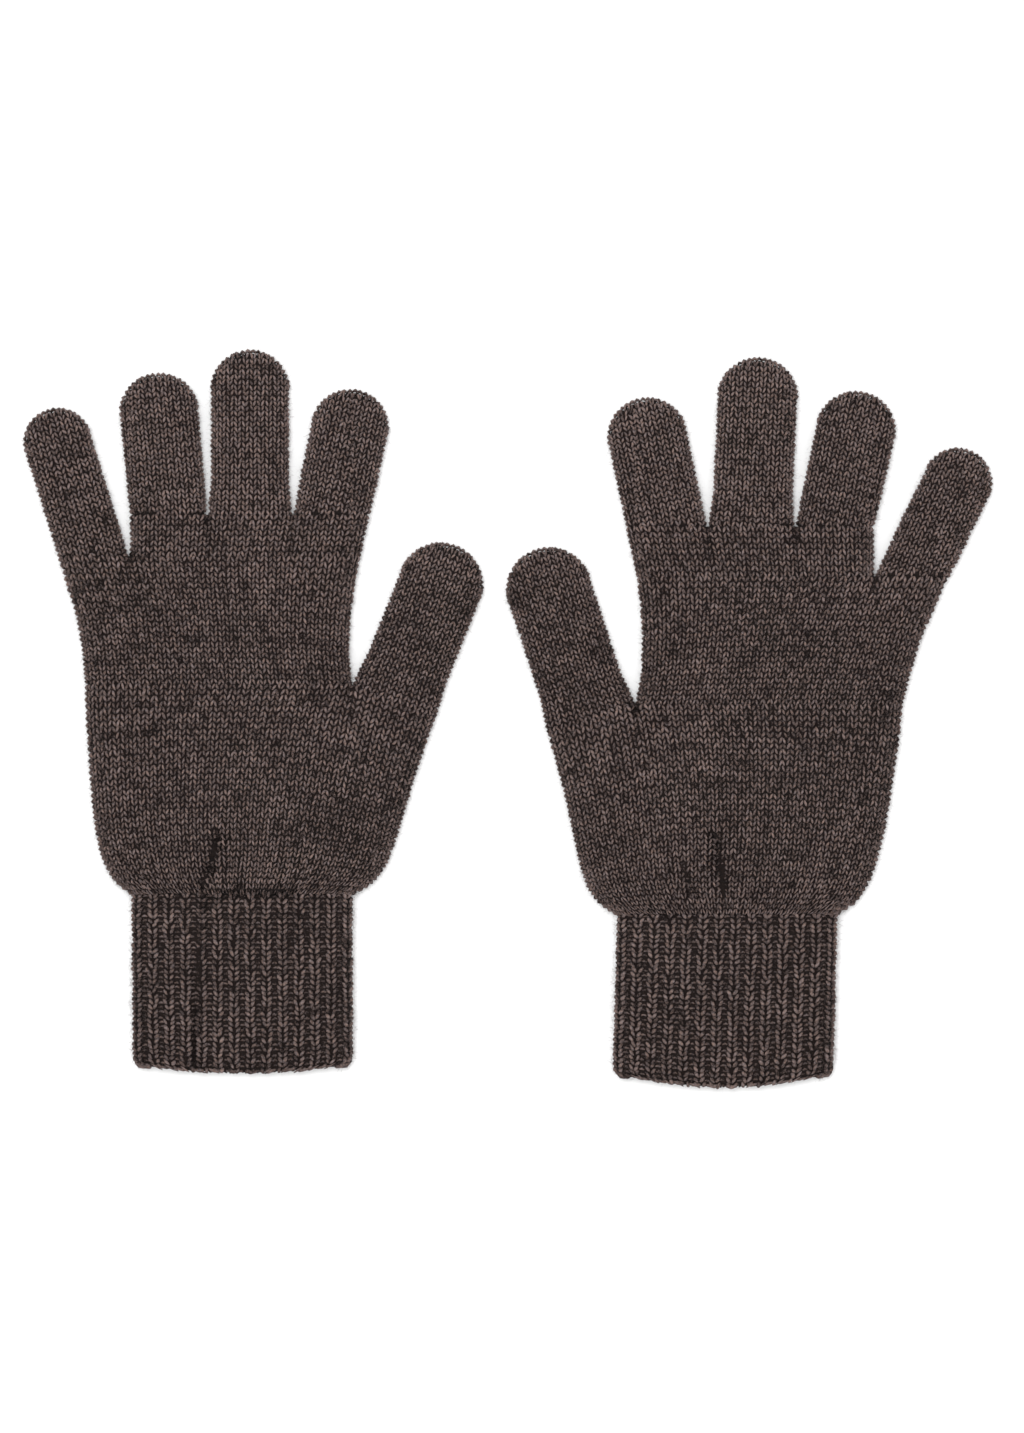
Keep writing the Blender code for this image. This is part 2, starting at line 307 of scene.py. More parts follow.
@dataclass(frozen=True)
class Leg:
    """How one strand of a stitch lies in its cell. Across is in wale pitches, along in course pitches."""

    joined: float  # from the wale's middle, where the two legs meet
    open: float  # the same at their open ends
    length: float
    half_width: float
    half_height: float  # metres
    crest: float  # how high the middle of the strand stands over the backing, metres
    dip: float  # how much lower its two ends are, metres
    sway: float = 0.0  # a course pitch share by which a lying strand's ends hang lower
    lying: bool = False  # it lies across the wale and not along it

    def shape(self, grain: Grain, point: Point) -> tuple[Numbers, Numbers, Numbers]:
        """Places the grain's points in the stitch's cell.

        Args:
            grain: the grain.
            point: which way the legs come together.

        Returns:
            Each point's place across, along and up.
        """
        s = grain.along
        round_end = 0.30 + 0.70 * np.sqrt(np.maximum(0.0, 1 - s * s))
        up = self.crest - self.dip * s * s + round_end * self.half_height * np.sin(grain.angle)
        if self.lying:
            across = self.length / 2 * s
            along = -self.sway * s * s + round_end * self.half_width * np.cos(grain.angle)
            return across, along, up
        opening = s * point.value
        middle = (self.joined + self.open) / 2 + (self.open - self.joined) / 2 * opening
        across = middle + round_end * self.half_width * np.cos(grain.angle)
        return across, self.length / 2 * s, up


@dataclass(frozen=True)
class Gauge:
    """A knit: the pitch of its wales and courses, which way its stitches point, and its strands."""

    wale: float
    course: float
    point: Point
    legs: Leg
    bar: Leg | None = None  # the purl bar between two ribs
    cast_on: Leg | None = None  # the strand that the first stitch of a rib stands on


PLAIN_LEGS = Leg(joined=0.10, open=0.40, length=1.22, half_width=0.175, half_height=0.00060,
                 crest=0.00080, dip=0.00115)
PALM_KNIT = Gauge(wale=0.00297, course=0.00197, point=Point.UP, legs=PLAIN_LEGS)
STALL_KNIT = Gauge(wale=0.00282, course=0.00187, point=Point.UP, legs=PLAIN_LEGS)
RIB_KNIT = Gauge(
    wale=0.00597, course=0.00187, point=Point.DOWN,
    legs=Leg(joined=0.090, open=0.275, length=1.24, half_width=0.128, half_height=0.00090,
             crest=0.00085, dip=0.0010),
    bar=Leg(joined=0, open=0, length=0.42, half_width=0.26, half_height=0.00050, crest=0.0000, dip=0.0003,
            sway=0.25, lying=True),
    cast_on=Leg(joined=0, open=0, length=0.80, half_width=0.40, half_height=0.00085, crest=0.0004, dip=0.0008,
                sway=-0.35, lying=True),
)


@dataclass(frozen=True)
class Section:
    """The section across a tube that lies flat. Its upper layer is domed and its under layer is flat."""

    middle: float = 0.0032  # height of the fold at the side edges
    rise: float = 0.0043  # of the upper backing over that
    drop: float = 0.0021  # of the under backing below it
    upper_fold: float = 0.0085
    under_fold: float = 0.0040
    most: float = 0.80  # of a narrow tube's half width that a fold may take

    def height(self, face: Face) -> float:
        """How far a layer lies from the fold's level."""
        return self.rise if face is Face.UPPER else self.drop

    def fold(self, half: Numbers, face: Face) -> Numbers:
        """How far in from the edge a layer's fold reaches."""
        return np.minimum(self.upper_fold if face is Face.UPPER else self.under_fold, self.most * half)

    def quarter(self, half: Numbers, scale: Numbers, face: Face) -> Numbers:
        """How long the fold of a layer is, round its curve."""
        depth = self.fold(half, face)
        return math.pi / 2 * np.sqrt((depth ** 2 + (self.height(face) * scale) ** 2) / 2)

    def turn(self, part: Numbers, face: Face) -> Numbers:
        """The angle to which a layer's fold has turned, after a part of its length."""
        angles = np.linspace(0.0, math.pi / 2, 33)
        widest = self.upper_fold if face is Face.UPPER else self.under_fold
        speed = np.hypot(widest * np.cos(angles), self.height(face) * np.sin(angles))
        gone = np.concatenate([[0.0], np.cumsum((speed[1:] + speed[:-1]) / 2)])
        return np.interp(part, gone / gone[-1], angles)

    def reach(self, half: Numbers, scale: Numbers, face: Face) -> Numbers:
        """How far it is from a layer's middle line to the side edge, along the fabric."""
        return half - self.fold(half, face) + self.quarter(half, scale, face)

    def place(self, run: Numbers, half: Numbers, scale: Numbers, face: Face) -> tuple[Numbers, Numbers, Numbers]:
        """A place on a layer.

        Args:
            run: how far from the middle line, along the fabric.
            half: the tube's half width there.
            scale: how much of its full height it has there.
            face: which layer.

        Returns:
            How far across it is, its height over the fold, and how much it faces up or down, from 0 to 1.
        """
        depth = self.fold(half, face)
        flat = half - depth
        quarter = np.maximum(self.quarter(half, scale, face), 1e-6)
        turn = self.turn((np.abs(run) - flat) / quarter, face)
        across = np.sign(run) * (np.minimum(np.abs(run), flat) + depth * np.sin(turn))
        level = np.cos(turn)
        return across, face.value * self.height(face) * scale * level, level


@dataclass(frozen=True)
class Crease:
    """A valley pressed into the upper layer, between two places of the glove's flat pattern."""

    start: tuple[float, float]
    end: tuple[float, float]
    depth: float
    little_width: float  # on the little finger's side
    thumb_width: float
    bulge: float = 0.0  # how high the fabric stands beside it, on the steeper side
    shaded: float = 0.42  # how much painted shade darkens the yarn at its bottom

    def reach(self, u: Numbers, v: Numbers) -> tuple[Numbers, Numbers, Numbers]:
        """How the crease reaches some places.

        Args:
            u: the places' distance across the glove's flat pattern, towards the thumb.
            v: their distance up it.

        Returns:
            How strong it is there, how far away its middle is, and how wide it is on that side.
        """
        (u0, v0), (u1, v1) = self.start, self.end
        du, dv = u1 - u0, v1 - v0
        free = ((u - u0) * du + (v - v0) * dv) / (du * du + dv * dv)
        share = np.clip(free, 0.0, 1.0)
        away = np.hypot(u - u0 - share * du, v - v0 - share * dv)
        to_thumb = ((u - u0) * dv - (v - v0) * du) * np.sign(dv) > 0
        width = np.where(to_thumb, self.thumb_width, self.little_width)
        along = np.minimum(1.6 * np.sin(math.pi * np.clip((free + 0.3) / 1.6, 0.0, 1.0)), 1.0)
        return along, away, width

    def shade(self, u: Numbers, v: Numbers) -> Numbers:
        """How much painted shade darkens the yarn here, tucked into the crease."""
        along, away, width = self.reach(u, v)
        return self.shaded * along * np.exp(-(away / (0.6 * width)) ** 2)

    def at(self, u: Numbers, v: Numbers) -> Numbers:
        """How deep the fabric lies at some places.

        Args:
            u: the places' distance across the glove's flat pattern, towards the thumb.
            v: their distance up it.

        Returns:
            The depths, in metres.
        """
        along, away, width = self.reach(u, v)
        valley = self.depth * np.exp(-(away / width) ** 2)
        steep = min(self.little_width, self.thumb_width)
        ridge = np.where(width == steep, np.exp(-((away - 3 * steep) / (2.2 * steep)) ** 2), 0.0)
        return along * (valley - self.bulge * ridge)


@dataclass(frozen=True)
class Cleft:
    """A valley that runs down from between two fingers, as deep at its top as the folds of their tubes."""

    crotch: tuple[float, float]
    length: float
    rise: float
    fold: float
    shaded: float = 0.5  # how much painted shade darkens the yarn at its top

    def shade(self, u: Numbers, v: Numbers) -> Numbers:
        """How much painted shade darkens the yarn at some places, deep between two fingers.

        Args:
            u: the places' distance across the glove's flat pattern, towards the thumb.
            v: their distance up it.

        Returns:
            How much is taken from its tone.
        """
        share = np.clip((v - self.crotch[1] + self.length) / self.length, 0.0, 1.0)
        share = share * np.clip(1 - (v - self.crotch[1]) / 0.004, 0.0, 1.0)
        return self.shaded * share * np.exp(-((u - self.crotch[0]) / 0.0011) ** 2)

    def at(self, u: Numbers, v: Numbers) -> Numbers:
        """How deep the fabric lies at some places.

        Args:
            u: the places' distance across the glove's flat pattern, towards the thumb.
            v: their distance up it.

        Returns:
            The depths, in metres.
        """
        share = np.clip((v - self.crotch[1] + self.length) / self.length, 0.0, 1.0)
        away = np.hypot(u - self.crotch[0], 0.0006)
        inside = 1 - np.clip(away / self.fold, 0.0, 1.0)
        return self.rise * share ** 1.6 * (1 - np.sqrt(1 - inside ** 2))


@dataclass
class Drape:
    """How the upper layer of a glove lies: its creases, the gathers over the cuff, and slow waves."""

    wrist_level: float
    creases: list[Crease | Cleft] = field(default_factory=list)
    seam_span: tuple[float, float] = (0.0, 0.0)  # where the rib's top is tucked in deepest
    gather_depth: float = 0.0013
    gather_pitch: float = 0.0085
    gather_reach: float = 0.012
    wave_depth: float = 0.00035
    phases: Numbers = field(default_factory=lambda: np.zeros(8))
    paler_from: float = 0.150  # how far up the glove its yarn starts to look paler
    paler_to: float = 0.215
    paler_by: float = 0.11

    def tuck(self, u: Numbers) -> Numbers:
        """How far the top of the rib is tucked in, from 0 to 1."""
        first, last = self.seam_span
        return np.clip((u - first) / 0.006, 0, 1) * np.clip((last - u) / 0.006, 0, 1)

    def shade(self, u: Numbers, v: Numbers) -> Numbers:
        """How much painted shade darkens the yarn in the creases and the seam."""
        seam = np.exp(-((v - self.wrist_level - 0.0004) / 0.0016) ** 2)
        return sum((crease.shade(u, v) for crease in self.creases), 0.0) + 0.40 * seam * self.tuck(u)

    def pale(self, v: Numbers) -> Numbers:
        """How much paler the yarn is made towards the fingertips."""
        share = np.clip((v - self.paler_from) / (self.paler_to - self.paler_from), 0.0, 1.0)
        return self.paler_by * share * share * (3 - 2 * share)

    def at(self, u: Numbers, v: Numbers) -> Numbers:
        """How much the fabric is lifted at some places.

        Args:
            u: the places' distance across the glove's flat pattern, towards the thumb.
            v: their distance up it.

        Returns:
            The lifts, in metres.
        """
        lift = -sum(crease.at(u, v) for crease in self.creases)
        over = np.maximum(v - self.wrist_level, 0.0)
        started = np.clip(over / 0.003, 0.0, 1.0)
        fading = np.exp(-over / self.gather_reach) * started * (v > self.wrist_level)
        turns = 2 * math.pi * u / self.gather_pitch
        wobble = np.sin(turns + 1.7 * np.sin(0.31 * turns + self.phases[0])) * 0.6
        wobble += np.sin(0.57 * turns + self.phases[1] + 90 * over) * 0.6
        lift = lift + self.gather_depth * fading * wobble
        seam = np.exp(-((v - self.wrist_level - 0.0004) / 0.0012) ** 2)
        seam = seam - 0.25 * np.exp(-((v - self.wrist_level - 0.0040) / 0.0018) ** 2)
        lift = lift - (0.0005 + 0.0020 * self.tuck(u)) * seam
        waves = np.sin(u * 210 + v * 60 + self.phases[2]) + np.sin(u * 95 - v * 150 + self.phases[3])
        waves = waves + np.sin(v * 260 - u * 120 + self.phases[4])
        return lift + self.wave_depth * waves / 2


@dataclass
class Tube:
    """A knitted tube lying flat, seen as a map from places round and along it to places in the world."""

    root: Vector
    side: int
    drape: Drape
    gauge: Gauge
    section: Section
    proud: float = 0.0010  # how far the stitches stand out beyond the backing
    lap: float = 0.0003  # how far the knitting runs on past each end, to meet the next tube's

    def half(self, along: Numbers) -> Numbers:
        """The backing's half width at a distance along the tube."""
        raise NotImplementedError

    def scale(self, along: Numbers) -> Numbers:
        """How much of its full height the tube has at a distance along it."""
        return np.ones_like(along)

    def reach(self, along: Numbers, face: Face) -> Numbers:
        """How far it is round a layer, from its middle line to the side edge."""
        return self.section.reach(self.half(along), self.scale(along), face)

    def at(self, run: Numbers, along: Numbers, face: Face) -> Numbers:
        """The world's place of a place on the tube.

        Args:
            run: how far round a layer from its middle line.
            along: how far along the tube.
            face: which layer.

        Returns:
            One row of three for each place.
        """
        half, scale = self.half(along), self.scale(along)
        across, height, level = self.section.place(run, half, scale, face)
        u, v = self.flat_place(across, along)
        lift = self.drape.at(u, v) * level if face is Face.UPPER else 0.0
        z = self.section.middle + height + lift
        return np.stack([self.root.x + self.side * u, self.root.y + v, z + 0 * u], axis=-1)

    def flat_place(self, across: Numbers, along: Numbers) -> tuple[Numbers, Numbers]:
        """Where a place across and along the tube lies in the glove's flat pattern."""
        raise NotImplementedError

    def wale_run(self, share: Numbers, along: Numbers, face: Face) -> Numbers:
        """How far round a layer a wale runs, from its share of the way to the edge."""
        return share * self.reach(along, face)

    def start_at(self, across: Numbers) -> Numbers:
        """Where the tube starts, at a distance across it."""
        return 0.0 * across

    def shade(self, places: Numbers) -> Numbers:
        """How much darker the yarn is made: the painted shade of the upper layer's creases, less its paling towards
        the fingertips.

        Args:
            places: the places in the world, a row of three for each.

        Returns:
            How much is taken from its tone at each of them.
        """
        u = self.side * (places[:, 0] - self.root.x)
        v = places[:, 1] - self.root.y
        upper = np.clip((places[:, 2] - self.section.middle) / 0.001, 0.0, 1.0)
        return self.drape.shade(u, v) * upper - self.drape.pale(v)

    def frames(self, share: Numbers, along: Numbers, face: Face) -> tuple[Numbers, Numbers, Numbers, Numbers]:
        """The lie of the fabric at places on the tube.

        Args:
            share: the wale, as its share of the way to the edge.
            along: how far along the tube.
            face: which layer.

        Returns:
            The places, the steps across and along for each metre, and the outward normals.
        """
        step = 2e-4
        run = self.wale_run(share, along, face)
        place = self.at(run, along, face)
        across = (self.at(run + step, along, face) - self.at(run - step, along, face)) / (2 * step)
        before = self.at(self.wale_run(share, along - step, face), along - step, face)
        after = self.at(self.wale_run(share, along + step, face), along + step, face)
        up = (after - before) / (2 * step)
        across *= self.side * face.value
        normal = np.cross(across, up)
        normal /= np.maximum(np.linalg.norm(normal, axis=1, keepdims=True), 1e-12)
        return place, across, up, normal


@dataclass
class BodyTube(Tube):
    """A length of the cuff or palm, between two side edges."""

    shares: Numbers = None
    low: Numbers = None  # the little side's edge at each share of the way up
    high: Numbers = None  # the thumb side's edge
    bottom: float = 0.0
    top: float = 0.0
    hem_bow: float = 0.0  # how far the middle of the lower end hangs below its corners
    hem_corner: float = 0.0  # the radius of the corners there
    bow: float = 0.0  # how far the courses droop at the side edges, half way up
    crotch: float = 1.0  # where across the top end turns down, from -1 to 1
    turn_down: float = 0.0  # and how far down it then goes

    @property
    def length(self) -> float:
        """How long the tube is along its middle."""
        return self.top - self.bottom

    def edges(self, along: Numbers) -> tuple[Numbers, Numbers]:
        """The two side edges at a distance along the tube."""
        share = along / self.length
        past = np.clip(self.hem_corner - along, 0.0, self.hem_corner)
        inset = self.hem_corner - np.sqrt(self.hem_corner ** 2 - past ** 2)
        return np.interp(share, self.shares, self.low) + inset, np.interp(share, self.shares, self.high) - inset

    def half(self, along: Numbers) -> Numbers:
        """The backing's half width at a distance along the tube."""
        low, high = self.edges(along)
        return (high - low) / 2 - self.proud

    def flat_place(self, across: Numbers, along: Numbers) -> tuple[Numbers, Numbers]:
        """Where a place across and along the tube lies in the glove's flat pattern."""
        low, high = self.edges(along)
        share = along / self.length
        part = 2 * across / (high - low)
        past = part - self.crotch
        soft = 0.5 * (1 - np.clip(share, 0.0, 1.0))
        kinked = (past + np.sqrt(past ** 2 + soft ** 2)) / 2 / max(1 - self.crotch, 1e-6)
        down = self.turn_down * share * kinked
        droop = self.bow * 4 * share * (1 - share) * part ** 2
        hem = self.hem_bow * part ** 2 * (1 - share)
        return (low + high) / 2 + across, self.bottom + along + hem - down - droop


@dataclass
class StallTube(Tube):
    """A finger or a thumb, straight, with a rounded end."""

    origin: tuple[float, float] = (0.0, 0.0)  # its root's middle, in the glove's flat pattern
    lean: float = 0.0  # towards the thumb, radians
    length: float = 0.0
    width: float = 0.0
    root_width: float = 0.0
    root_slope: float = 0.0  # how much higher the root line is for each metre across
    ease: float = 0.014
    end_fall: float = 0.0042  # how far from its end the tube starts to thin

    def half(self, along: Numbers) -> Numbers:
        """The backing's half width at a distance along the tube."""
        rest = np.clip(along / self.ease, 0.0, 1.0)
        flare = (self.root_width - self.width) / 2 * (1 - rest * rest * (3 - 2 * rest))
        radius = self.width / 2 - self.proud
        past = np.clip((along - (self.length - self.proud - radius)) / radius, 0.0, 1.0)
        return np.maximum((radius + flare) * np.sqrt(np.maximum(1 - past ** 2, 0.0)), 1e-5)

    def scale(self, along: Numbers) -> Numbers:
        """How much of its full height the tube has at a distance along it."""
        left = (self.length - self.proud - along) / self.end_fall
        return np.sqrt(np.maximum(1 - np.clip(1 - left, 0.0, 1.0) ** 2, 0.0))

    def flat_place(self, across: Numbers, along: Numbers) -> tuple[Numbers, Numbers]:
        """Where a place across and along the tube lies in the glove's flat pattern."""
        c, s = math.cos(self.lean), math.sin(self.lean)
        return self.origin[0] + across * c + along * s, self.origin[1] - across * s + along * c

    def wale_run(self, share: Numbers, along: Numbers, face: Face) -> Numbers:
        """How far round a layer a wale runs. It keeps its place where the tip narrows."""
        straight = np.minimum(along, self.length - self.width / 2)
        return share * self.reach(straight, face)

    def start_at(self, across: Numbers) -> Numbers:
        """Where the tube starts, at a distance across it."""
        return across * self.root_slope


class Detail(Enum):
    """How finely a layer's stitches are cut: sides and bands of each strand."""

    FINE = (5, 4)
    PLAIN = (4, 3)


GRAINS = {detail: Grain.turned(*detail.value) for detail in Detail}
FIBRE_GRAIN = Grain.turned(3, 2)


class KnitPiece:
    """Gathers the strands, backing and fibres of one piece, and makes its object."""

    LEG_PATCH = (0.0, 0.82)  # where on the bake's map the strands lie
    BACKING_PATCH = (0.84, 0.97)
    FIBRE_PATCH = (0.985, 0.998)
    wall = 0.0005  # how thick the backing is
    bind_width = 0.0030  # of the stitches that close a fingertip

    def __init__(self, name: str, order: int, yarn: bpy.types.Material, slot: Slot) -> None:
        """Starts an empty piece.

        Args:
            name: the piece's name.
            order: its place among all pieces, which seeds its own small irregularities.
            yarn: its yarn's material.
            slot: the record's material slot; it is kept but not used.
        """
        self.name = name
        self.slot = slot
        self.random = np.random.default_rng(SEED + order)
        self.yarn = yarn
        self.points: list[Numbers] = []
        self.corners: list[Numbers] = []
        self.totals: list[Numbers] = []
        self.materials: list[Numbers] = []
        self.tones: list[Numbers] = []
        self.strand: list[Numbers] = []
        self.patch: list[Numbers] = []
        self.count = 0
        self.cells = 0

    def put(self, points: Numbers, grain: Grain, tones: Numbers, material: int) -> None:
        """Adds copies of a grain.

        Args:
            points: the points of every copy, copies by points by 3.
            grain: the grain that they are copies of.
            tones: how light each copy is.
            material: the index of their material.
        """
        copies, each = points.shape[0], points.shape[1]
        starts = self.count + each * np.arange(copies)
        self.points.append(points.reshape(-1, 3))
        self.corners.append((starts[:, None] + grain.corners[None, :]).ravel())
        self.totals.append(np.tile(grain.totals, copies))
        self.materials.append(np.full(copies * len(grain.totals), material, np.int32))
        # Painted shade along each strand: darker at its ends and on its sides and underside.
        shade = grain.shade if material == STRANDS else np.zeros(each)
        fibres = self.random.normal(0.0, 0.13, (copies, each))
        self.tones.append((tones[:, None] + shade[None] + fibres).ravel())
        shift = self.random.integers(0, 50, (copies, 1, 2))
        self.strand.append((grain.spread[None] * (2.0, 1.0) + shift).reshape(-1, 2))
        if material == STRANDS:
            cell = np.arange(self.cells, self.cells + copies, dtype=float)
            self.cells += copies
        else:
            cell = np.full(copies, -1.0)
        self.patch.append(np.concatenate([
            np.broadcast_to(grain.spread[None], (copies, *grain.spread.shape)),
            np.broadcast_to(cell[:, None, None], (copies, len(grain.spread), 1)),
        ], axis=2).reshape(-1, 3))
        self.count += copies * each

    def tone_walk(self, copies: int) -> Numbers:
        """How light each stitch of a row of stitches is: the yarn's colour drifts slowly along it.

        Args:
            copies: how many stitches there are, in the order in which they are knitted.

        Returns:
            Their tones, about 0.5.
        """
        single = self.random.normal(0.0, 1.0, copies + 24)
        slow = np.convolve(single, np.ones(5) / math.sqrt(5), "same")
        slower = np.convolve(self.random.normal(0.0, 1.0, copies + 24), np.ones(17) / math.sqrt(17), "same")
        quick = self.random.normal(0.0, 1.0, copies + 24)
        return (0.58 + 0.035 * slow + 0.02 * slower + 0.09 * quick)[:copies]

    def knit(self, tube: Tube, face: Face, start: float, end: float, detail: Detail) -> None:
        """Knits the stitches of one layer between two distances along its tube.

        Args:
            tube: the tube.
            face: which layer.
            start: from where.
            end: to where.
            detail: how finely the strands are cut.
        """
        gauge = tube.gauge
        total = tube.length + 2 * tube.lap
        courses = max(1, round(total / gauge.course))
        pitch = total / courses
        levels = (np.arange(math.floor(start / pitch) - 1, courses) + 0.5) * pitch - tube.lap
        levels = levels[(levels >= start) & (levels < end)]
        widest = float(np.max(tube.wale_run(np.ones(9), np.linspace(0.2, 0.8, 9) * total, face)))
        wales = max(2, round(2 * widest / gauge.wale))
        share = (np.arange(wales) + 0.5) / wales * 2 - 1
        share_all, along_all = (a.ravel() for a in np.meshgrid(share, levels))
        run = tube.wale_run(share_all, along_all, face)
        wide = 2 * np.abs(tube.wale_run(np.ones_like(run), along_all, face)) / wales
        across = tube.section.place(run, tube.half(along_all), tube.scale(along_all), face)[0]
        kept = np.abs(run) <= tube.reach(along_all, face) - 0.30 * wide
        kept &= along_all >= tube.start_at(across) + 0.25 * pitch - tube.lap
        kept &= tube.scale(along_all) > 0.45
        share_all, along_all = share_all[kept], along_all[kept]
        to_share = tube.side * face.value * 2 / wales

        def lie(shift: float) -> tuple:
            return tube.frames(np.clip(share_all + shift * to_share, -1, 1), along_all, face)

        self.lay(lie, tube.gauge, wide[kept], pitch, detail)
        if gauge.bar is not None:
            self.lay_bars(tube, face, share, levels, wales, pitch, detail)

    def cell_points(self, frames: tuple, local: tuple, wide: Numbers, pitch: float) -> Numbers:
        """Places a strand's points in the cells of many stitches, each a little different.

        Args:
            frames: the lie of the fabric at each stitch.
            local: each point's place across, along and up in the cell.
            wide: each cell's width.
            pitch: each cell's height.

        Returns:
            The points, stitches by points by 3.
        """
        place, across, along, normal = frames
        count = len(place)
        loose = self.random.normal(0.0, 1.0, (count, 5, 1))
        x = local[0][None] * (1 + 0.08 * loose[:, 0]) + 0.04 * loose[:, 1]
        y = local[1][None] * (1 + 0.08 * loose[:, 2]) + 0.08 * loose[:, 3]
        x = x * wide[:, None]
        y = y * pitch
        z = local[2][None] + 0.00007 * loose[:, 4]
        points = place[:, None] + x[..., None] * across[:, None] + y[..., None] * along[:, None]
        points = points + z[..., None] * normal[:, None]
        points[..., 2] = np.maximum(points[..., 2], LOWEST)
        return points

    def lay(self, lie: Callable[[float], tuple], gauge: Gauge, wide: Numbers, pitch: float,
            detail: Detail) -> None:
        """Lays the two legs of each stitch.

        Args:
            lie: gives the lie of the fabric beside each stitch, some cells to its right.
            gauge: the knit.
            wide: how wide each stitch is.
            pitch: how high it is.
            detail: how finely the strands are cut.
        """
        count = len(wide)
        tones = self.tone_walk(count)
        grain = GRAINS[detail]
        x, y, z = gauge.legs.shape(grain, gauge.point)
        middle = (gauge.legs.joined + gauge.legs.open) / 2
        for hand, made in ((1, grain), (-1, grain.mirrored())):
            points = self.cell_points(lie(hand * middle), (hand * (x - middle), y, z), wide, pitch)
            self.put(points, made, tones + self.random.normal(0.0, 0.10, count), STRANDS)

    def line_mouth(self, tube: Tube, face: Face, depth: float) -> None:
        """Lays the stitches inside the mouth of a tube, as far in as can be seen.

        Args:
            tube: the cuff.
            face: which layer.
            depth: how far in they go.
        """
        courses = round(depth / tube.gauge.course)
        levels = (np.arange(courses) + 0.5) * tube.gauge.course + 0.0004
        widest = float(tube.reach(np.array([0.0]), face)[0])
        ribs = max(2, round(2 * widest / tube.gauge.wale))
        share, along = (a.ravel() for a in np.meshgrid((np.arange(ribs) + 1.0) / ribs * 2 - 1, levels))
        share, along = share[share < 0.99], along[share < 0.99]

        def lie(shift: float) -> tuple:
            place, across, up, normal = tube.frames(share, along, face)
            place = place - normal * self.wall - shift * across * tube.gauge.wale
            return place, -across, up, -normal

        self.lay(lie, tube.gauge, np.full(len(share), 2 * widest / ribs), tube.gauge.course, Detail.PLAIN)

    def cast_on(self, tube: Tube, face: Face, detail: Detail) -> None:
        """Lays the strands of the hem, one under each rib.

        Args:
            tube: the cuff.
            face: which layer.
            detail: how finely the strands are cut.
        """
        widest = float(tube.reach(np.array([0.0]), face)[0])
        ribs = max(2, round(2 * widest / tube.gauge.wale))
        share = (np.arange(ribs) + 0.5) / ribs * 2 - 1
        along = np.full(ribs, 0.0003)
        frames = tube.frames(share, along, face)
        wide = np.full(ribs, 2 * widest / ribs)
        grain = GRAINS[detail]
        points = self.cell_points(frames, tube.gauge.cast_on.shape(grain, tube.gauge.point), wide,
                                  tube.gauge.course)
        self.put(points, grain.mirrored(), self.tone_walk(ribs), STRANDS)

    def lay_bars(self, tube: Tube, face: Face, share: Numbers, levels: Numbers, wales: int, pitch: float,
                 detail: Detail) -> None:
        """Lays the purl bars in the recesses between the ribs. The upper layer has the ones at the side edges.

        Args:
            tube: the cuff.
            face: which layer.
            share: the ribs, as shares of the way to the edge.
            levels: how far along the tube each course is.
            wales: how many ribs there are.
            pitch: how high a course is.
            detail: how finely the strands are cut.
        """
        between = np.append(share - 1.0 / wales, 1.0)
        if face is Face.UNDER:
            between = between[1:-1]
        between_all, along = (a.ravel() for a in np.meshgrid(between, levels))
        wide = 2 * tube.reach(along, face) / wales
        grain = GRAINS[detail]
        frames = tube.frames(between_all, along, face)
        points = self.cell_points(frames, tube.gauge.bar.shape(grain, tube.gauge.point), wide, pitch)
        # Painted shade: the purl bars are made darker, for the shade in the recesses between the ribs.
        self.put(points, grain.mirrored(), self.tone_walk(len(along)) - 0.20, STRANDS)

    def bind_tip(self, tube: StallTube, pitch: float, detail: Detail) -> None:
        """Lays the stitches that close a rounded tip, along its edge.

        Args:
            tube: the finger or thumb.
            pitch: how far apart they are.
            detail: how finely the strands are cut.
        """
        radius = tube.width / 2 - tube.proud
        count = round(math.pi * radius / pitch)
        turn = (np.arange(count) + 0.5) / count * math.pi - math.pi / 2
        centre = tube.length - tube.proud - radius
        u, v = tube.flat_place(radius * np.sin(turn), centre + radius * np.cos(turn))
        level = tube.section.middle + 0 * u
        place = np.stack([tube.root.x + tube.side * u, tube.root.y + v, level], axis=-1)
        tangent = np.gradient(place, axis=0)
        tangent /= np.linalg.norm(tangent, axis=1, keepdims=True)
        upright = np.tile([0.0, 0.0, 1.0], (count, 1))
        outward = np.cross(upright, tangent) * tube.side
        across = np.cross(tangent, outward)

        def lie(shift: float) -> tuple:
            return place + shift * self.bind_width * across, across, tangent, outward

        self.lay(lie, tube.gauge, np.full(count, self.bind_width), pitch, detail)

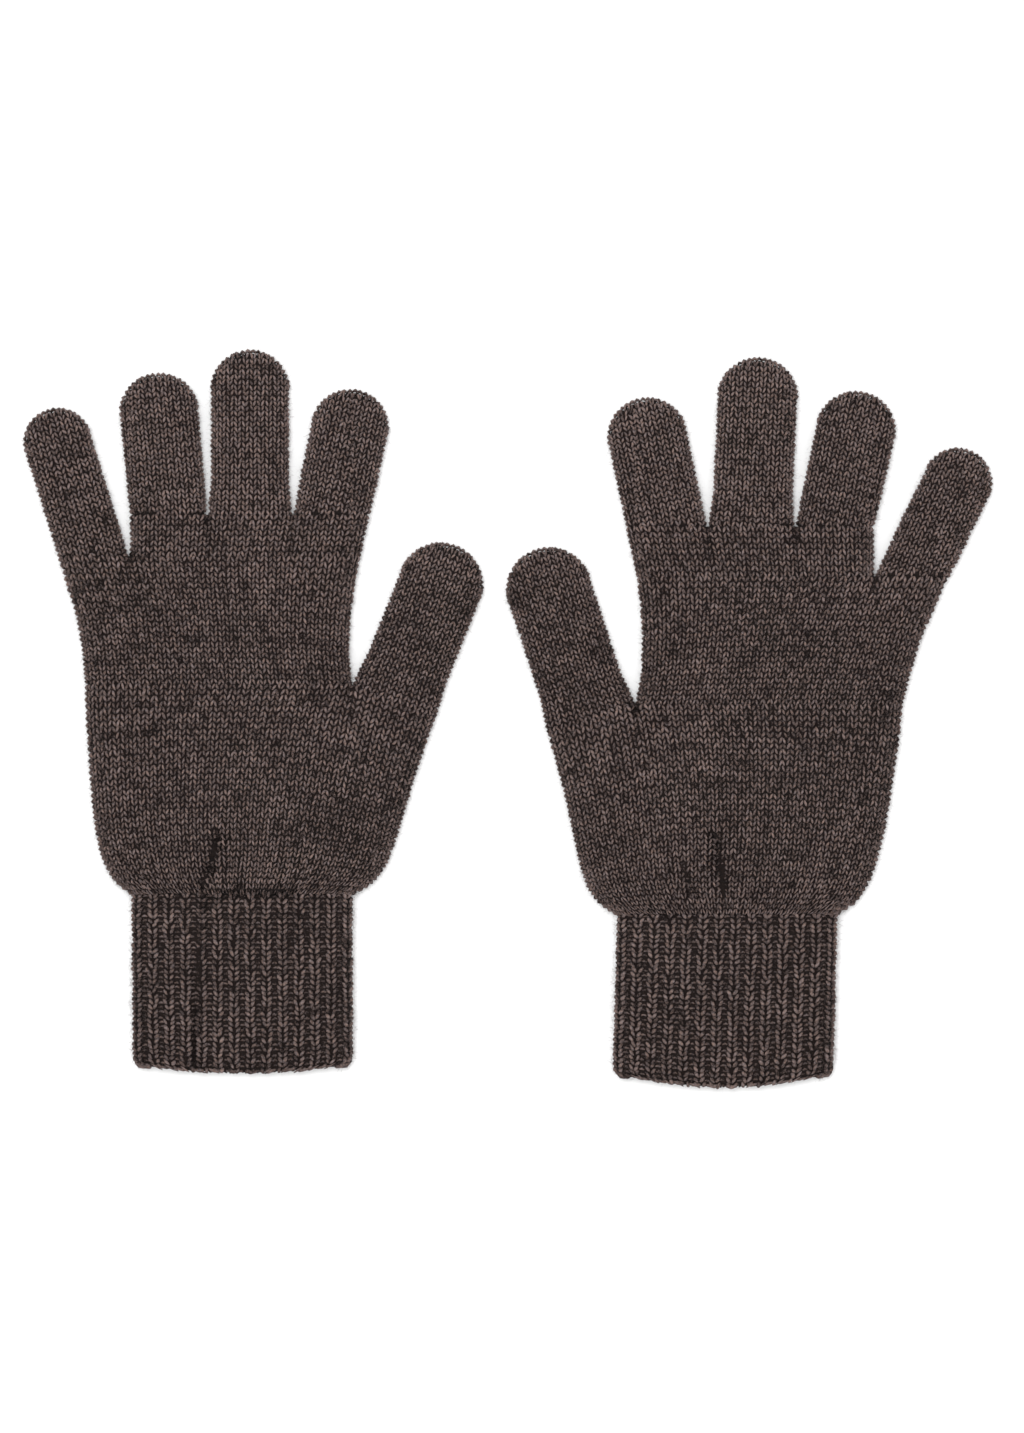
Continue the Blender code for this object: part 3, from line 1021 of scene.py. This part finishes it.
    def back(self, tube: Tube, start: float, end: float) -> None:
        """Adds the thin closed backing behind the stitches, all the way round the tube.

        Args:
            tube: the tube.
            start: from where along it.
            end: to where.
        """
        bm = bmesh.new()
        spans = 24
        steps = max(3, round((end - start) / 0.0022))
        for face in Face:
            made = bmesh.ops.create_grid(bm, x_segments=spans, y_segments=steps, size=1.0)["verts"]
            flat = np.array([v.co for v in made])
            share, rise = flat[:, 0], (flat[:, 1] + 1) / 2
            along = start + (end - start) * rise
            half = tube.half(along)
            bound = tube.section.place(share * tube.reach(along, face), half, tube.scale(along), face)[0]
            first = np.maximum(start, tube.start_at(bound))
            along = first + (end - first) * rise
            places = tube.at(share * tube.reach(along, face), along, face)
            for vert, place in zip(made, places):
                vert.co = place
        bmesh.ops.remove_doubles(bm, verts=bm.verts, dist=3e-5)
        bmesh.ops.recalc_face_normals(bm, faces=bm.faces)
        middle = sum((v.co for v in bm.verts), Vector()) / len(bm.verts)
        outward = sum((f.calc_center_median() - middle).z * f.normal.z * f.calc_area() for f in bm.faces)
        if outward < 0:
            bmesh.ops.reverse_faces(bm, faces=bm.faces)
        bmesh.ops.solidify(bm, geom=bm.faces[:], thickness=self.wall)
        bmesh.ops.recalc_face_normals(bm, faces=bm.faces)
        if bm.calc_volume(signed=True) < 0:
            bmesh.ops.reverse_faces(bm, faces=bm.faces)
        bm.verts.index_update()
        points = np.array([v.co for v in bm.verts])
        corners = np.array([v.index for f in bm.faces for v in f.verts])
        totals = np.array([len(f.verts) for f in bm.faces])
        bm.free()
        low, high = points.min(0), points.max(0)
        spread = ((points - low) / (high - low))[corners][:, :2]
        self.points.append(points)
        self.corners.append(corners + self.count)
        self.totals.append(totals)
        self.materials.append(np.full(len(totals), BACKING, np.int32))
        self.tones.append(np.full(len(points), 0.5))
        self.strand.append(spread * 40)
        self.patch.append(np.column_stack([spread, np.full(len(spread), -2.0)]))
        self.count += len(points)

    def fuzz(self, tube: Tube, start: float, end: float, density: float) -> None:
        """Adds loose fibres that stand off both layers.

        Args:
            tube: the tube.
            start: from where along it.
            end: to where.
            density: how many fibres there are to a square metre.
        """
        for face in Face:
            middle = np.array([(start + end) / 2])
            width = 2 * float(tube.reach(middle, face)[0])
            count = int(density * width * (end - start))
            if face is Face.UNDER:
                count //= 4
            along = self.random.uniform(start, end, count)
            share = self.random.uniform(-1.0, 1.0, count)
            rim = self.random.random(count) < 0.5
            share = np.where(rim, np.sign(share) * (1 - 0.15 * np.abs(share)), share)
            run = tube.wale_run(share, along, face)
            across = tube.section.place(run, tube.half(along), tube.scale(along), face)[0]
            kept = (along > tube.start_at(across)) & (tube.scale(along) > 0.15)
            kept &= np.abs(run) <= tube.reach(along, face)
            share, along = share[kept], along[kept]
            place, right, up, normal = tube.frames(share, along, face)
            right /= np.maximum(np.linalg.norm(right, axis=1, keepdims=True), 1e-9)
            self.strew(place, right, np.cross(normal, right), normal)

    def strew(self, place: Numbers, right: Numbers, up: Numbers, normal: Numbers) -> None:
        """Sets one curved fibre at each place.

        Args:
            place: where each fibre starts, on the backing.
            right: across the fabric.
            up: along the fabric.
            normal: out of the fabric.
        """
        count = len(place)
        heading = self.random.uniform(0, 2 * math.pi, (count, 1))
        raised = self.random.uniform(0.05, 0.95, (count, 1))
        length = self.random.uniform(0.0010, 0.0030, (count, 1))
        along = (np.cos(heading) * right + np.sin(heading) * up) * np.cos(raised) + normal * np.sin(raised)
        beside = np.cross(normal, along)
        beside /= np.maximum(np.linalg.norm(beside, axis=1, keepdims=True), 1e-9)
        above = np.cross(along, beside)
        bend = self.random.normal(0.0, 0.45, (count, 2))
        base = place + normal * self.random.uniform(0.0005, 0.0011, (count, 1))
        t = (FIBRE_GRAIN.along + 1) / 2
        radius = 0.000032 * (1.1 - 0.8 * t)
        points = base[:, None] + (length * t[None])[..., None] * along[:, None]
        bow = length * t[None] ** 2
        points = points + (bow * bend[:, :1] + radius * np.cos(FIBRE_GRAIN.angle))[..., None] * beside[:, None]
        points = points + (bow * bend[:, 1:] + radius * np.sin(FIBRE_GRAIN.angle))[..., None] * above[:, None]
        points[..., 2] = np.maximum(points[..., 2], LOWEST)
        tones = self.random.uniform(0.1, 0.9, count)
        self.put(points, FIBRE_GRAIN, tones, LOOSE)

    def bake_places(self) -> Numbers:
        """Lays out the bake's map: a cell for each strand, and a patch each for the rest.

        Returns:
            Each corner's place on it.
        """
        spread = np.concatenate(self.patch)
        columns = max(1, math.ceil(math.sqrt(self.cells)))
        rows = max(1, math.ceil(self.cells / columns))
        cell = spread[:, 2]
        low, high = self.LEG_PATCH
        u = (cell % columns + 0.08 + 0.84 * spread[:, 0]) / columns
        v = low + (high - low) * (cell // columns + 0.08 + 0.84 * spread[:, 1]) / rows
        for code, (start, stop) in ((-1, self.FIBRE_PATCH), (-2, self.BACKING_PATCH)):
            mine = cell == code
            u[mine] = 0.01 + 0.98 * spread[mine, 0]
            v[mine] = start + (stop - start) * spread[mine, 1]
        return np.column_stack([u, v])

    def finish(self, tube: Tube) -> bpy.types.Object:
        """Makes the piece's object.

        Args:
            tube: the tube that it is knitted on.

        Returns:
            A mesh object at the origin, with its place in its mesh.
        """
        points = np.concatenate(self.points).astype(np.float32)
        corners = np.concatenate(self.corners).astype(np.int32)
        totals = np.concatenate(self.totals).astype(np.int32)
        mesh = bpy.data.meshes.new(self.name)
        mesh.vertices.add(len(points))
        mesh.loops.add(len(corners))
        mesh.polygons.add(len(totals))
        mesh.vertices.foreach_set("co", points.ravel())
        mesh.loops.foreach_set("vertex_index", corners)
        mesh.polygons.foreach_set("loop_start", np.concatenate([[0], np.cumsum(totals)[:-1]]).astype(np.int32))
        mesh.polygons.foreach_set("material_index", np.concatenate(self.materials))
        mesh.polygons.foreach_set("use_smooth", np.ones(len(totals), bool))
        for name, places in (("OFBake", self.bake_places()), ("Strand", np.concatenate(self.strand))):
            layer = mesh.uv_layers.new(name=name, do_init=False)
            layer.uv.foreach_set("vector", places.astype(np.float32).ravel())
        # The painted shade of the creases, clefts and seam is taken away here, and the paling towards the
        # fingertips added.
        tone_and_shade = mesh.attributes.new("tone_and_shade", "FLOAT", "POINT")
        tone_and_shade.data.foreach_set("value", (np.concatenate(self.tones) - tube.shade(points)).astype(np.float32))
        mesh.update(calc_edges=True)
        for material in (self.yarn, bpy.data.materials[BACKING_IN_PAINTED_SHADE.name], bpy.data.materials[FIBRES.name]):
            mesh.materials.append(material)
        made = bpy.data.objects.new(self.name, mesh)
        bpy.context.scene.collection.objects.link(made)
        triangles = int(np.sum(totals - 2))
        LOG.info("%s: %d strands, %d triangles", self.name, self.cells, triangles)
        return made


@dataclass
class GloveFrame:
    """One glove's places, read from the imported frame."""

    name: str
    side: int
    joints: dict[str, dict] = field(init=False)
    root: Vector = field(init=False)  # the flat pattern's origin
    wrist_level: float = field(init=False)

    def __post_init__(self) -> None:
        """Reads the hinges and sets the flat pattern's origin."""
        self.joints = {joint["name"]: joint for joint in frame["joints"]}
        wrist = self.hinge("wrist")
        self.root = Vector((wrist.x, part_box(f"{self.name}_cuff")[0].y, 0.0))
        self.wrist_level = wrist.y - self.root.y

    def hinge(self, joint: str) -> Vector:
        """A hinge's place in the world."""
        return Vector(self.joints[f"{self.name}_{joint}"]["pos_m"])

    def flat(self, place: Vector) -> tuple[float, float]:
        """A place in the world as a place in the glove's flat pattern."""
        return self.side * (place.x - self.root.x), place.y - self.root.y

    def points(self, part: str) -> Numbers:
        """Reads a node's corners.

        Args:
            part: the node's name, without the glove's.

        Returns:
            Each one's place across, along and up in the glove's flat pattern.
        """
        mesh = frame["nodes"][f"{self.name}_{part}"].data
        found = np.zeros(len(mesh.vertices) * 3, np.float32)
        mesh.vertices.foreach_get("co", found)
        found = found.reshape(-1, 3).astype(float)
        found[:, 0] = self.side * (found[:, 0] - self.root.x)
        found[:, 1] -= self.root.y
        return found

    def edges(self, part: str) -> dict[str, Numbers]:
        """The side edges of a length of palm or cuff.

        Args:
            part: the node's name, without the glove's.

        Returns:
            The little side's edge as low and the thumb side's as high, each a list of (level, across).
        """
        points = self.points(part)
        middle = (points[:, 2].min() + points[:, 2].max()) / 2
        points = points[np.abs(points[:, 2] - middle) < 1e-5]
        centre = points[:, 0].mean()
        edges = {}
        for name, sign in (("low", -1), ("high", 1)):
            mine = points[sign * (points[:, 0] - centre) > 0]
            outermost = {}
            for u, v, _ in mine:
                key = round(v, 4)
                if key not in outermost or sign * u > sign * outermost[key][1]:
                    outermost[key] = (v, u)
            found = np.array(sorted(outermost.values()))
            near = np.abs(found[:, None, 0] - found[None, :, 0]) < 0.001
            further = sign * (found[None, :, 1] - found[:, None, 1]) > 0.0012
            edges[name] = found[~np.any(near & further, axis=1)]
        return edges


@dataclass
class GloveLooks:
    """One glove's knitted pieces."""

    name: str
    side: int
    order: int
    creases: tuple[Crease, ...]
    seam_span: tuple[float, float] = (0.0, 0.0)  # where the cuff's top is tucked in deepest
    blend_root: float = 0.008  # how far up a finger its root bend reaches
    blend_joint: float = 0.006  # how far to each side of a finger's joint its bend reaches
    blend_thumb: float = 0.010
    blend_wrist: float = 0.012
    fuzz_density: float = 330000.0
    hem_clearance: float = 0.0002  # how far the backing stops short of the hem
    lined: float = 0.020  # how far in from the hem the inside is knitted
    pieces: list[bpy.types.Object] = field(default_factory=list)
    frame: GloveFrame = field(init=False)
    drape: Drape = field(init=False)

    def __post_init__(self) -> None:
        """Reads the frame and lays the creases."""
        self.frame = GloveFrame(self.name, self.side)
        phases = np.random.default_rng(SEED * 7 + self.order).uniform(0, 2 * math.pi, 8)
        self.drape = Drape(self.frame.wrist_level, list(self.creases), self.seam_span, phases=phases)
        self.add_crotch_grooves()

    def add_crotch_grooves(self) -> None:
        """Adds the valleys that run down from between the fingers."""
        section = Section()
        knuckle = self.frame.edges("three_stall_palm")["high"][-1, 0]
        crotches = []
        for inner, outer in (("index", "middle"), ("middle", "ring")):
            a, b = self.stall_root(inner), self.stall_root(outer)
            crotches.append((((a[0][0] - a[1] / 2 + b[0][0] + b[1] / 2) / 2, knuckle), 0.018))
        little, width = self.stall_root("little")
        crotches.append(((little[0] + width / 2, little[1]), 0.014))
        level, across = self.frame.edges("four_stall_palm")["high"][0]
        crotches.append(((across, level), 0.016))
        for crotch, length in crotches:
            self.drape.creases.append(Cleft(crotch, length, section.rise, section.upper_fold))

    def stall_root(self, stall: str) -> tuple[tuple[float, float], float]:
        """Measures a stall's root.

        Args:
            stall: its name.

        Returns:
            Its middle in the flat pattern, and its width along the root line.
        """
        origin = self.frame.flat(self.frame.hinge(f"{stall}_base_bend"))
        points = self.frame.points(f"{stall}_base")
        near = points[points[:, 1] < origin[1] + 0.0006]
        return origin, float(np.ptp(near[:, 0]))

    def body_tube(self, part: str, gauge: Gauge, section: Section, **more: float) -> BodyTube:
        """The map of a length of cuff or palm.

        Args:
            part: the node's name, without the glove's.
            gauge: its knit.
            section: the section across it.
            more: its bows and where its end turns down.

        Returns:
            The tube.
        """
        edges = self.frame.edges(part)
        low, high = edges["low"], edges["high"]
        bottom, top = low[0, 0] - more.pop("lowered", 0.0), low[-1, 0]
        shares = np.linspace(0.0, 1.0, 60)
        lines = []
        for edge in (low, high):
            share = (edge[:, 0] - edge[0, 0]) / (edge[-1, 0] - edge[0, 0])
            line = np.interp(shares, share, edge[:, 1])
            padded = np.concatenate([np.full(2, line[0]), line, np.full(2, line[-1])])
            eased = np.convolve(padded, np.ones(5) / 5, "valid")
            eased[:2], eased[-2:] = line[:2], line[-2:]
            lines.append(eased)
        return BodyTube(self.frame.root, self.side, self.drape, gauge, section, shares=shares,
                        low=lines[0], high=lines[1], bottom=bottom, top=top, **more)

    def stall_tube(self, stall: str, parts: tuple[str, ...]) -> tuple[StallTube, list[float]]:
        """The map of a finger or thumb.

        Args:
            stall: its name.
            parts: its lengths' names, from the root.

        Returns:
            The tube, and where along it each of its hinges lies.
        """
        hinges = [self.frame.hinge(f"{stall}_{part}_bend") for part in parts]
        (u0, v0), (u1, v1) = self.frame.flat(hinges[0]), self.frame.flat(hinges[-1])
        lean = math.atan2(u1 - u0, v1 - v0)
        along = np.array([math.sin(lean), math.cos(lean)])
        across = np.array([math.cos(lean), -math.sin(lean)])
        tip = self.frame.points(f"{stall}_tip")[:, :2] - (u0, v0)
        base = self.frame.points(f"{stall}_base")[:, :2] - (u0, v0)
        axis = Vector(self.frame.joints[f"{self.name}_{stall}_base_bend"]["axis"])
        line = np.array([self.side * axis.x, axis.y])
        slope = float(line @ along) / float(line @ across)
        by_root = base[base @ along < base @ across * slope + 0.0006]
        places = [math.hypot(h.x - hinges[0].x, h.y - hinges[0].y) for h in hinges]
        tube = StallTube(
            self.frame.root, self.side, self.drape, STALL_KNIT, Section(), origin=(u0, v0), lean=lean,
            length=float((tip @ along).max()), width=float(np.ptp(tip @ across)),
            root_width=float(np.ptp(by_root @ across)), root_slope=slope)
        return tube, places

    def piece(self, name: str, tube: Tube, start: float, end: float, finish: YarnFinish,
              slot: Slot) -> bpy.types.Object:
        """Knits one piece of a tube.

        Args:
            name: the piece's name, without the glove's.
            tube: the tube.
            start: from where along it.
            end: to where.
            finish: the yarn's finish.
            slot: the record's material slot.

        Returns:
            The piece's object.
        """
        if start <= 0:
            start -= tube.lap
        if end >= tube.length:
            end += tube.lap
        order = self.order * 100 + len(self.pieces)
        made = KnitPiece(f"{self.name}_{name}", order, bpy.data.materials[finish.name], slot)
        made.knit(tube, Face.UPPER, start, end, Detail.FINE)
        made.knit(tube, Face.UNDER, start, end, Detail.PLAIN)
        has_hem = tube.gauge.cast_on is not None
        made.back(tube, max(start, self.hem_clearance) if has_hem else start,
                  min(end, tube.length - tube.proud) if isinstance(tube, StallTube) else end)
        if isinstance(tube, StallTube) and end >= tube.length:
            made.bind_tip(tube, tube.gauge.course, Detail.FINE)
        if has_hem:
            made.cast_on(tube, Face.UPPER, Detail.FINE)
            made.cast_on(tube, Face.UNDER, Detail.PLAIN)
            made.line_mouth(tube, Face.UPPER, self.lined)
            made.line_mouth(tube, Face.UNDER, self.lined)
        made.fuzz(tube, start, min(end, tube.length - tube.proud), self.fuzz_density)
        knitted = made.finish(tube)
        self.pieces.append(knitted)
        return knitted

    def build_cuff(self) -> None:
        """Knits the ribbed cuff."""
        section = Section(middle=0.0036, rise=0.0030, drop=0.0018, upper_fold=0.0042, under_fold=0.0036)
        edges = self.frame.edges("cuff")["low"]
        bow = edges[0, 0]
        tube = self.body_tube("cuff", RIB_KNIT, section, hem_bow=bow - 0.0006, lowered=bow - 0.0006,
                              hem_corner=0.0042, proud=0.0009)
        cuff = self.piece("ribbed_cuff", tube, 0.0, tube.length, RIB_YARN, Slot.RIBBED)
        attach(cuff, f"{self.name}_cuff")
        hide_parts(f"{self.name}_cuff")

    def build_palm(self) -> None:
        """Knits the three stages of the palm, and the wrist's gathers."""
        four = self.frame.edges("four_stall_palm")
        five = self.frame.edges("five_stall_palm")
        thumb_crotch = four["high"][0, 1]
        low_top, high_top = five["low"][-1], five["high"][-1]
        crotch = 2 * (thumb_crotch - low_top[1]) / (high_top[1] - low_top[1]) - 1
        turn_down = low_top[0] - high_top[0]
        lower = self.body_tube("five_stall_palm", PALM_KNIT, Section(), crotch=crotch, turn_down=turn_down,
                               bow=0.0035)
        palm, cuff = f"{self.name}_palm", f"{self.name}_cuff"
        wrist = self.piece("wrist_gathers", lower, 0.0, self.blend_wrist, PLAIN_YARN, Slot.PLAIN)
        hinge = self.frame.hinge("wrist")
        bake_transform(wrist)
        half_way = (self.blend_wrist + lower.length) / 2
        heel = self.piece("palm_heel", lower, self.blend_wrist, half_way, PLAIN_YARN, Slot.PLAIN)
        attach(heel, palm)
        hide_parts(f"{self.name}_five_stall_palm")
        thumb_side = self.piece("palm_at_thumb", lower, half_way, lower.length, PLAIN_YARN, Slot.PLAIN)
        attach(thumb_side, palm)
        upper = self.body_tube("four_stall_palm", PALM_KNIT, Section(), bow=0.0022)
        middle = self.piece("palm_upper", upper, 0.0, upper.length, PLAIN_YARN, Slot.PLAIN)
        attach(middle, palm)
        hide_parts(f"{self.name}_four_stall_palm")
        top = self.body_tube("three_stall_palm", PALM_KNIT, Section())
        knuckles = self.piece("palm_knuckles", top, 0.0, top.length, PLAIN_YARN, Slot.PLAIN)
        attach(knuckles, palm)
        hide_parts(f"{self.name}_three_stall_palm")

    def build_stall(self, stall: str, parts: tuple[str, ...]) -> None:
        """Knits a finger or thumb in as many pieces as it has bends, each reaching across its own.

        Args:
            stall: its name.
            parts: its lengths' names, from the root.
        """
        tube, hinges = self.stall_tube(stall, parts)
        reach = self.blend_thumb if stall == "thumb" else self.blend_root
        bends = self.blend_joint
        seams = [-abs(tube.root_slope) * tube.root_width / 2]
        for place, following in zip(hinges, hinges[1:]):
            after_bend = place + (reach if place == 0.0 else bends)
            seams.append((after_bend + following - bends) / 2)
        seams.append(tube.length)
        bodies = [f"{self.name}_palm"] + [f"{self.name}_{stall}_{part}" for part in parts]
        axis = Vector(self.frame.joints[f"{self.name}_{stall}_base_bend"]["axis"])
        square = Vector((0, 0, 1)).cross(axis).normalized()
        if square.y < 0:
            square = -square
        for place, part in enumerate(parts):
            knitted = self.piece(f"{stall}_{part}_knit", tube, seams[place], seams[place + 1], PLAIN_YARN,
                                 Slot.PLAIN)
            hinge = self.frame.hinge(f"{stall}_{part}_bend")
            if place == 0:
                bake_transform(knitted)
            else:
                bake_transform(knitted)
            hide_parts(bodies[place + 1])

    def build(self) -> None:
        """Knits the whole glove."""
        self.build_cuff()
        self.build_palm()
        self.build_stall("thumb", ("base", "tip"))
        for finger in ("index", "middle", "ring", "little"):
            self.build_stall(finger, ("base", "middle", "tip"))


@dataclass(frozen=True)
class Studio:
    """A pale floor, soft light from above, and a camera that looks straight down."""

    frame_height: float = 0.5187  # of the floor that the camera sees, the long way
    look_at: tuple[float, float] = (0.0014, 0.0009)
    distance: float = 1.6
    floor_size: float = 6.0
    floor_colour: Colour = (0.90, 0.90, 0.90)
    sky: float = 0.93
    lamp_watts: float = 14.0
    lamp_size: float = 0.7
    lamp_place: tuple[float, float, float] = (-0.12, 0.13, 1.5)

    def build(self) -> None:
        """Sets the whole stage."""
        self.build_floor()
        self.build_lights()
        self.build_camera()

    def build_floor(self) -> None:
        """Lays the floor."""
        mesh = bpy.data.meshes.new("floor")
        bm = bmesh.new()
        bmesh.ops.create_grid(bm, x_segments=1, y_segments=1, size=self.floor_size / 2)
        bm.to_mesh(mesh)
        bm.free()
        floor = bpy.data.objects.new("floor", mesh)
        paint = bpy.data.materials.new("pale_floor")
        paint.use_nodes = True
        shader = paint.node_tree.nodes["Principled BSDF"]
        shader.inputs["Base Color"].default_value = (*self.floor_colour, 1.0)
        shader.inputs["Roughness"].default_value = 0.9
        shader.inputs["Specular IOR Level"].default_value = 0.1
        mesh.materials.append(paint)
        bpy.context.scene.collection.objects.link(floor)

    def build_lights(self) -> None:
        """Sets the pale sky and one large soft lamp."""
        world = bpy.data.worlds.new("studio")
        world.use_nodes = True
        sky = world.node_tree.nodes["Background"]
        sky.inputs["Color"].default_value = (1.0, 1.0, 1.0, 1.0)
        sky.inputs["Strength"].default_value = self.sky
        bpy.context.scene.world = world
        lamp = bpy.data.lights.new("soft_lamp", "AREA")
        lamp.shape = "DISK"
        lamp.size = self.lamp_size
        lamp.energy = self.lamp_watts
        made = bpy.data.objects.new("soft_lamp", lamp)
        made.location = self.lamp_place
        made.rotation_euler = (-Vector(self.lamp_place)).to_track_quat("-Z", "Y").to_euler()
        bpy.context.scene.collection.objects.link(made)
        bpy.context.scene.view_settings.view_transform = "Standard"

    def build_camera(self) -> None:
        """Hangs the camera over the gloves."""
        data = bpy.data.cameras.new("camera")
        data.lens = data.sensor_width * self.distance / self.frame_height
        data.clip_start, data.clip_end = 0.05, 20.0
        camera = bpy.data.objects.new("camera", data)
        camera.location = (*self.look_at, self.distance)
        bpy.context.scene.collection.objects.link(camera)
        bpy.context.scene.camera = camera


LEFT = GloveLooks("left", side=1, order=1, seam_span=(-0.011, 0.021), creases=(
    Crease((-0.0078, 0.0861), (-0.0140, 0.0680), 0.0036, 0.0030, 0.0009, bulge=0.0010),
    Crease((-0.0145, 0.0665), (-0.0177, 0.0010), 0.0018, 0.0013, 0.0013, shaded=0.5),
))
RIGHT = GloveLooks("right", side=-1, order=2, creases=(
    Crease((0.0025, 0.0912), (0.0007, 0.0713), 0.0038, 0.0032, 0.0009, bulge=0.0012),
    Crease((0.0150, 0.0800), (0.0100, 0.0690), 0.0020, 0.0026, 0.0013, bulge=0.0006),
))


def main() -> None:
    """Builds the studio, the finishes and both gloves."""
    logging.basicConfig(level=logging.INFO, format="%(message)s")
    Studio().build()
    for finish in (PLAIN_YARN, RIB_YARN, BACKING_IN_PAINTED_SHADE, FIBRES):
        finish.material()
    for glove in (LEFT, RIGHT):
        glove.build()


if __name__ == "__main__":
    main()
